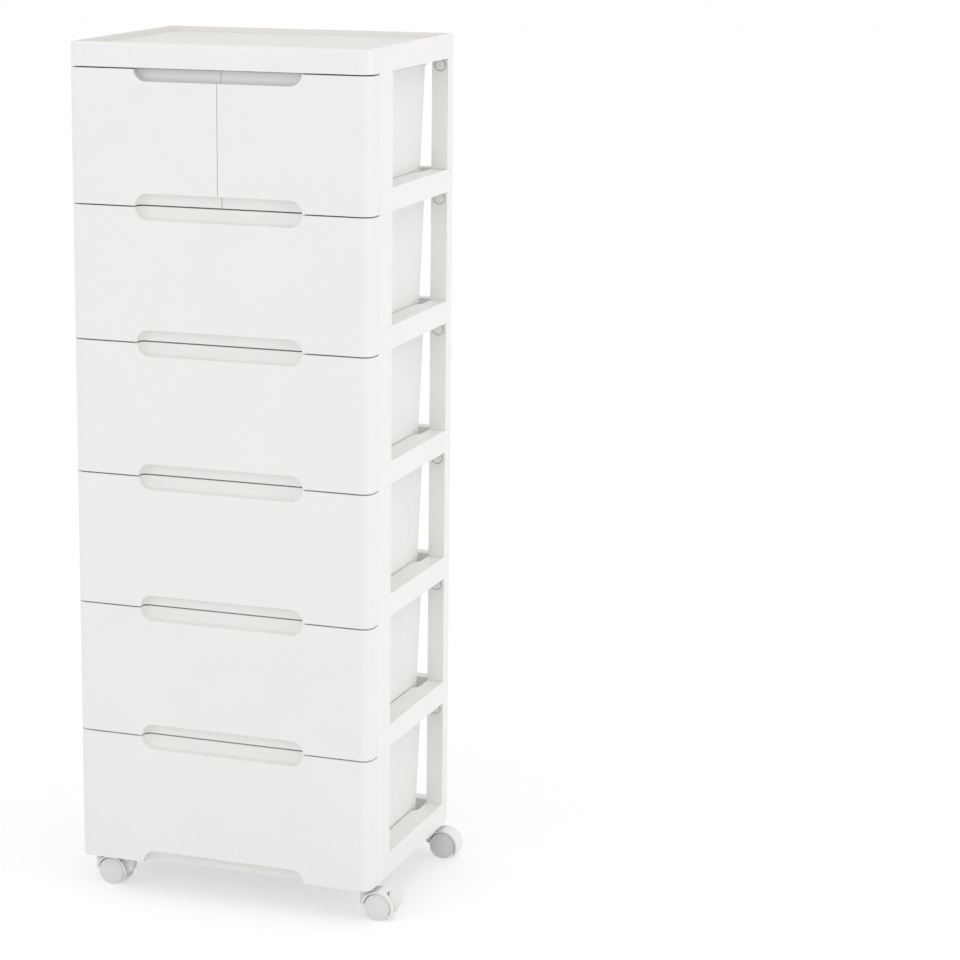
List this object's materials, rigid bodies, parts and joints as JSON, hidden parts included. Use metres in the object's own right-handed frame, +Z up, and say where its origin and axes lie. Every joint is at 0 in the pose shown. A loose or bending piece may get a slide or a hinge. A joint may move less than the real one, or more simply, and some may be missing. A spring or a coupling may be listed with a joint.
{
  "type": "plastic drawer tower",
  "caption": "Tall narrow tower of white plastic drawers in an open-sided frame, with a pair of half-width drawers on top and swivel castors below.",
  "frame": {"origin": "middle of the whole outline on the floor, with the castors trailing towards +X", "axes": "+Z up, -Y out of the drawer fronts, +X to the right seen from the front"},
  "size_m": [0.4348, 0.308, 1.093],
  "materials": {
    "cover_plastic": "satin moulded white polypropylene",
    "front_plastic": "satin moulded white polypropylene",
    "frame_plastic": "satin moulded white polypropylene",
    "box_plastic": "fine matt moulded white polypropylene",
    "castor_plastic": "satin moulded white nylon",
    "wheel_plastic": "smooth moulded pale grey polypropylene",
    "steel": "zinc-plated steel"
  },
  "bodies": {
    "root": {"top_cover": "cover_plastic", "base_frame": "frame_plastic", "castor_stems": "steel", "tier_frame_1": "frame_plastic", "tier_frame_2": "frame_plastic", "tier_frame_3": "frame_plastic", "tier_frame_4": "frame_plastic", "tier_frame_5": "frame_plastic", "front_post_left_1": "frame_plastic", "front_post_left_2": "frame_plastic", "front_post_left_3": "frame_plastic", "front_post_left_4": "frame_plastic", "front_post_left_5": "frame_plastic", "front_post_left_6": "frame_plastic", "front_post_right_1": "frame_plastic", "front_post_right_2": "frame_plastic", "front_post_right_3": "frame_plastic", "front_post_right_4": "frame_plastic", "front_post_right_5": "frame_plastic", "front_post_right_6": "frame_plastic", "back_post_left_1": "frame_plastic", "back_post_left_2": "frame_plastic", "back_post_left_3": "frame_plastic", "back_post_left_4": "frame_plastic", "back_post_left_5": "frame_plastic", "back_post_left_6": "frame_plastic", "back_post_right_1": "frame_plastic", "back_post_right_2": "frame_plastic", "back_post_right_3": "frame_plastic", "back_post_right_4": "frame_plastic", "back_post_right_5": "frame_plastic", "back_post_right_6": "frame_plastic"},
    "small_drawer_left_set": {"small_drawer_left": "box_plastic", "small_front_left": "front_plastic"},
    "small_drawer_right_set": {"small_drawer_right": "box_plastic", "small_front_right": "front_plastic"},
    "drawer_2_set": {"drawer_2": "box_plastic", "front_2": "front_plastic"},
    "drawer_3_set": {"drawer_3": "box_plastic", "front_3": "front_plastic"},
    "drawer_4_set": {"drawer_4": "box_plastic", "front_4": "front_plastic"},
    "drawer_5_set": {"drawer_5": "box_plastic", "front_5": "front_plastic"},
    "drawer_6_set": {"drawer_6": "box_plastic", "front_6": "front_plastic"},
    "castor_front_left": {"castor_hood_front_left": "castor_plastic"},
    "wheels_front_left": {"castor_wheels_front_left": "wheel_plastic", "castor_axle_front_left": "steel"},
    "brake_left": {"brake_lever_left": "castor_plastic"},
    "castor_front_right": {"castor_hood_front_right": "castor_plastic"},
    "wheels_front_right": {"castor_wheels_front_right": "wheel_plastic", "castor_axle_front_right": "steel"},
    "brake_right": {"brake_lever_right": "castor_plastic"},
    "castor_rear_left": {"castor_hood_rear_left": "castor_plastic"},
    "wheels_rear_left": {"castor_wheels_rear_left": "wheel_plastic", "castor_axle_rear_left": "steel"},
    "castor_rear_right": {"castor_hood_rear_right": "castor_plastic"},
    "wheels_rear_right": {"castor_wheels_rear_right": "wheel_plastic", "castor_axle_rear_right": "steel"}
  },
  "joints": [
    {"name": "small_drawer_left_slide", "type": "slide", "parent": "root", "child": "small_drawer_left_set", "axis": [0, -1, 0], "range_m": [0, 0.206]},
    {"name": "small_drawer_right_slide", "type": "slide", "parent": "root", "child": "small_drawer_right_set", "axis": [0, -1, 0], "range_m": [0, 0.206]},
    {"name": "drawer_2_slide", "type": "slide", "parent": "root", "child": "drawer_2_set", "axis": [0, -1, 0], "range_m": [0, 0.206]},
    {"name": "drawer_3_slide", "type": "slide", "parent": "root", "child": "drawer_3_set", "axis": [0, -1, 0], "range_m": [0, 0.206]},
    {"name": "drawer_4_slide", "type": "slide", "parent": "root", "child": "drawer_4_set", "axis": [0, -1, 0], "range_m": [0, 0.206]},
    {"name": "drawer_5_slide", "type": "slide", "parent": "root", "child": "drawer_5_set", "axis": [0, -1, 0], "range_m": [0, 0.206]},
    {"name": "drawer_6_slide", "type": "slide", "parent": "root", "child": "drawer_6_set", "axis": [0, -1, 0], "range_m": [0, 0.206]},
    {"name": "castor_front_left_swivel", "type": "hinge", "parent": "root", "child": "castor_front_left", "pos_m": [-0.20205, -0.1246, 0.035], "axis": [0, 0, 1], "continuous": true},
    {"name": "castor_front_left_roll", "type": "hinge", "parent": "castor_front_left", "child": "wheels_front_left", "pos_m": [-0.18285, -0.1246, 0.0175], "axis": [0, 1, 0], "continuous": true},
    {"name": "brake_left_lift", "type": "hinge", "parent": "castor_front_left", "child": "brake_left", "pos_m": [-0.17185, -0.1246, 0.025], "axis": [0, -1, 0], "range_deg": [0, 8]},
    {"name": "castor_front_right_swivel", "type": "hinge", "parent": "root", "child": "castor_front_right", "pos_m": [0.16735, -0.1246, 0.035], "axis": [0, 0, 1], "continuous": true},
    {"name": "castor_front_right_roll", "type": "hinge", "parent": "castor_front_right", "child": "wheels_front_right", "pos_m": [0.18655, -0.1246, 0.0175], "axis": [0, 1, 0], "continuous": true},
    {"name": "brake_right_lift", "type": "hinge", "parent": "castor_front_right", "child": "brake_right", "pos_m": [0.19755, -0.1246, 0.025], "axis": [0, -1, 0], "range_deg": [0, 8]},
    {"name": "castor_rear_left_swivel", "type": "hinge", "parent": "root", "child": "castor_rear_left", "pos_m": [-0.20205, 0.1246, 0.035], "axis": [0, 0, 1], "continuous": true},
    {"name": "castor_rear_left_roll", "type": "hinge", "parent": "castor_rear_left", "child": "wheels_rear_left", "pos_m": [-0.18285, 0.1246, 0.0175], "axis": [0, 1, 0], "continuous": true},
    {"name": "castor_rear_right_swivel", "type": "hinge", "parent": "root", "child": "castor_rear_right", "pos_m": [0.16735, 0.1246, 0.035], "axis": [0, 0, 1], "continuous": true},
    {"name": "castor_rear_right_roll", "type": "hinge", "parent": "castor_rear_right", "child": "wheels_rear_right", "pos_m": [0.18655, 0.1246, 0.0175], "axis": [0, 1, 0], "continuous": true}
  ]
}
